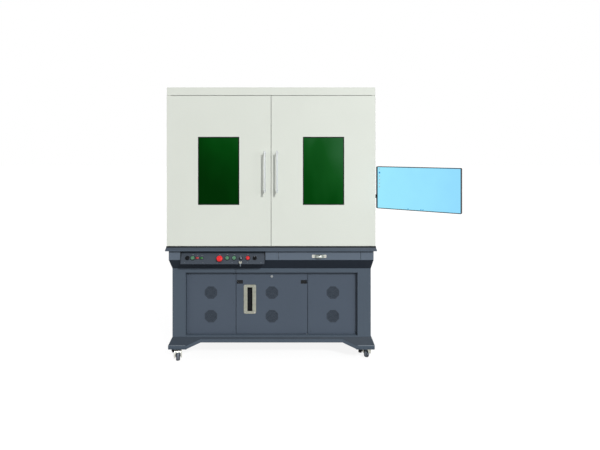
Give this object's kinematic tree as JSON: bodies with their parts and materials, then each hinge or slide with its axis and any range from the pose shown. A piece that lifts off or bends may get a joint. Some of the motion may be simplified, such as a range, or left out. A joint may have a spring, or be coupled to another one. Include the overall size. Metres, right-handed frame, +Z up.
{
  "type": "fiber laser engraver",
  "caption": "Enclosed laser marking machine: windowed doors over a slotted table and lifting scan head, on a wheeled base with console, drawer, service bay and arm-held monitor.",
  "frame": {"origin": "on the floor, under the middle of the box round the whole machine with its monitor and exhaust collar; the cabinet's own middle plane is at x = -0.2180 m, and the middle between its door faces and back panel is at y = 0.1009 m", "axes": "+X to the operator's right, +Y from the doors to the back, +Z up"},
  "size_m": [1.7634, 1.2218, 1.725],
  "materials": {
    "cream_paint": "satin powder coat",
    "slate_paint": "fine-textured powder coat",
    "window_acrylic": "dark green laser-safe acrylic",
    "satin_aluminium": "brushed and anodised",
    "zinc": "zinc plated",
    "steel": "ground steel",
    "black_plastic": "moulded",
    "dark_anodised": "black anodised",
    "red_plastic": "moulded",
    "green_plastic": "moulded translucent",
    "grille_steel": "pressed and painted",
    "tyre": "moulded rubber on a grey hub",
    "grey_box": "painted housing",
    "screen": "lit display"
  },
  "bodies": {
    "machine": {"top_cover": "cream_paint", "side_panels": "cream_paint", "back_panel": "cream_paint", "door_pivots": "steel", "table_deck": "slate_paint", "work_table": "satin_aluminium", "z_column": "steel", "apron": "slate_paint", "drawer_slides": "zinc", "control_console": "slate_paint", "button_bezels": "black_plastic", "base_walls": "slate_paint", "front_frame": "slate_paint", "vent_panels": "slate_paint", "panel_grilles": "grille_steel", "plinth": "slate_paint", "rear_forks": "zinc", "electronics": "grey_box", "arm_bracket": "steel"},
    "left_door": {"left_door": "cream_paint", "left_window": "window_acrylic", "left_handle": "satin_aluminium"},
    "right_door": {"right_door": "cream_paint", "right_window": "window_acrylic", "right_handle": "satin_aluminium"},
    "carriage": {"z_carriage": "satin_aluminium", "scan_head": "dark_anodised", "scan_lens": "dark_anodised"},
    "screw": {"lead_screw": "steel"},
    "drawer": {"drawer": "slate_paint", "drawer_pull": "zinc"},
    "estop_button": {"estop_button": "red_plastic"},
    "lamp_button": {"lamp_button": "green_plastic"},
    "start_button": {"start_button": "green_plastic"},
    "focus_button": {"focus_button": "green_plastic"},
    "stop_button": {"stop_button": "red_plastic"},
    "red_rocker": {"red_rocker": "red_plastic"},
    "green_rocker": {"green_rocker": "green_plastic"},
    "key": {"key": "zinc"},
    "key_tag": {"key_tag": "zinc"},
    "selector_knob": {"selector_knob": "black_plastic"},
    "access_door": {"access_door": "slate_paint", "door_grilles": "grille_steel", "pull_plate": "zinc"},
    "lock_plug": {"lock_plug": "zinc"},
    "left_latch": {"left_latch": "black_plastic"},
    "right_latch": {"right_latch": "black_plastic"},
    "left_caster": {"left_fork": "zinc"},
    "right_caster": {"right_fork": "zinc"},
    "left_brake": {"left_brake": "black_plastic"},
    "right_brake": {"right_brake": "black_plastic"},
    "front_left_wheel": {"front_left_wheel": "tyre"},
    "front_right_wheel": {"front_right_wheel": "tyre"},
    "rear_left_wheel": {"rear_left_wheel": "tyre"},
    "rear_right_wheel": {"rear_right_wheel": "tyre"},
    "lower_arm": {"lower_arm": "steel"},
    "upper_arm": {"upper_arm": "steel"},
    "monitor_head": {"monitor_head": "steel"},
    "monitor": {"monitor_case": "black_plastic", "monitor_screen": "screen"}
  },
  "joints": [
    {"name": "left_door_hinge", "type": "hinge", "parent": "machine", "child": "left_door", "pos_m": [-0.85203, -0.3401, 1.205], "axis": [0, 0, -1], "range_deg": [0, 110]},
    {"name": "right_door_hinge", "type": "hinge", "parent": "machine", "child": "right_door", "pos_m": [0.41597, -0.3401, 1.205], "axis": [0, 0, 1], "range_deg": [0, 90]},
    {"name": "carriage_lift", "type": "slide", "parent": "machine", "child": "carriage", "axis": [0, 0, 1], "range_m": [-0.12, 0.15]},
    {"name": "screw_turn", "type": "hinge", "parent": "machine", "child": "screw", "pos_m": [-0.21803, 0.2809, 1.2], "axis": [0, 0, 1], "range_deg": [-8641, 10801]},
    {"name": "drawer_slide", "type": "slide", "parent": "machine", "child": "drawer", "axis": [0, -1, 0], "range_m": [0, 0.3]},
    {"name": "estop_push", "type": "slide", "parent": "machine", "child": "estop_button", "axis": [0, 0.8829, -0.4695], "range_m": [0, 0.005]},
    {"name": "lamp_push", "type": "slide", "parent": "machine", "child": "lamp_button", "axis": [0, 0.8829, -0.4695], "range_m": [0, 0.003], "stiffness_N_per_m": 400},
    {"name": "start_push", "type": "slide", "parent": "machine", "child": "start_button", "axis": [0, 0.8829, -0.4695], "range_m": [0, 0.003], "stiffness_N_per_m": 400},
    {"name": "focus_push", "type": "slide", "parent": "machine", "child": "focus_button", "axis": [0, 0.8829, -0.4695], "range_m": [0, 0.003], "stiffness_N_per_m": 400},
    {"name": "stop_push", "type": "slide", "parent": "machine", "child": "stop_button", "axis": [0, 0.8829, -0.4695], "range_m": [0, 0.003], "stiffness_N_per_m": 400},
    {"name": "red_rocker_tip", "type": "hinge", "parent": "machine", "child": "red_rocker", "pos_m": [-0.67803, -0.34459, 0.66018], "axis": [0, -0.4695, -0.8829], "range_deg": [0, 14]},
    {"name": "green_rocker_tip", "type": "hinge", "parent": "machine", "child": "green_rocker", "pos_m": [-0.65103, -0.34459, 0.66018], "axis": [0, -0.4695, -0.8829], "range_deg": [0, 14]},
    {"name": "key_turn", "type": "hinge", "parent": "machine", "child": "key", "pos_m": [-0.40603, -0.34724, 0.66158], "axis": [0, 0.8829, -0.4695], "range_deg": [0, 60]},
    {"name": "tag_swing", "type": "hinge", "parent": "key", "child": "key_tag", "pos_m": [-0.40603, -0.37373, 0.67567], "axis": [1, 0, 0], "range_deg": [-30, 0]},
    {"name": "selector_turn", "type": "hinge", "parent": "machine", "child": "selector_knob", "pos_m": [-0.32003, -0.34724, 0.66158], "axis": [0, 0.8829, -0.4695], "range_deg": [0, 60]},
    {"name": "access_hinge", "type": "hinge", "parent": "machine", "child": "access_door", "pos_m": [0.00437, -0.2631, 0.35], "axis": [0, 0, 1], "range_deg": [0, 95]},
    {"name": "lock_turn", "type": "hinge", "parent": "access_door", "child": "lock_plug", "pos_m": [-0.21803, -0.2691, 0.527], "axis": [0, -1, 0], "range_deg": [0, 90]},
    {"name": "left_latch_slide", "type": "slide", "parent": "access_door", "child": "left_latch", "axis": [-1, 0, 0], "range_m": [0, 0.008]},
    {"name": "right_latch_slide", "type": "slide", "parent": "access_door", "child": "right_latch", "axis": [1, 0, 0], "range_m": [0, 0.008]},
    {"name": "left_caster_swivel", "type": "hinge", "parent": "machine", "child": "left_caster", "pos_m": [-0.81903, -0.2661, 0.075], "axis": [0, 0, 1], "continuous": true},
    {"name": "right_caster_swivel", "type": "hinge", "parent": "machine", "child": "right_caster", "pos_m": [0.38297, -0.2661, 0.075], "axis": [0, 0, 1], "continuous": true},
    {"name": "left_brake_press", "type": "hinge", "parent": "left_caster", "child": "left_brake", "pos_m": [-0.8123, -0.29121, 0.0315], "axis": [-0.9659, -0.2588, 0], "range_deg": [0, 15]},
    {"name": "right_brake_press", "type": "hinge", "parent": "right_caster", "child": "right_brake", "pos_m": [0.39271, -0.24199, 0.0315], "axis": [0.9272, -0.3746, 0], "range_deg": [0, 15]},
    {"name": "front_left_roll", "type": "hinge", "parent": "left_caster", "child": "front_left_wheel", "pos_m": [-0.8123, -0.29121, 0.0315], "axis": [0.9659, 0.2588, 0], "continuous": true},
    {"name": "front_right_roll", "type": "hinge", "parent": "right_caster", "child": "front_right_wheel", "pos_m": [0.39271, -0.24199, 0.0315], "axis": [-0.9272, 0.3746, 0], "continuous": true},
    {"name": "rear_left_roll", "type": "hinge", "parent": "machine", "child": "rear_left_wheel", "pos_m": [-0.81903, 0.4759, 0.0315], "axis": [1, 0, 0], "continuous": true},
    {"name": "rear_right_roll", "type": "hinge", "parent": "machine", "child": "rear_right_wheel", "pos_m": [0.38297, 0.4759, 0.0315], "axis": [1, 0, 0], "continuous": true},
    {"name": "arm_shoulder", "type": "hinge", "parent": "machine", "child": "lower_arm", "pos_m": [0.48197, -0.1991, 1.043], "axis": [0, 0, 1], "range_deg": [0, 75]},
    {"name": "arm_elbow", "type": "hinge", "parent": "lower_arm", "child": "upper_arm", "pos_m": [0.64365, -0.25163, 1.063], "axis": [0, 0, 1], "range_deg": [0, 60]},
    {"name": "monitor_pan", "type": "hinge", "parent": "upper_arm", "child": "monitor_head", "pos_m": [0.699, -0.41237, 1.083], "axis": [0, 0, 1], "range_deg": [-20, 35]},
    {"name": "monitor_tilt", "type": "hinge", "parent": "monitor_head", "child": "monitor", "pos_m": [0.699, -0.41237, 1.113], "axis": [-0.8572, 0.515, 0], "range_deg": [-12, 12]}
  ],
  "couplings": [
    {"joint": "screw_turn", "follows": "carriage_lift", "rad_per_m": 1256.6}
  ]
}
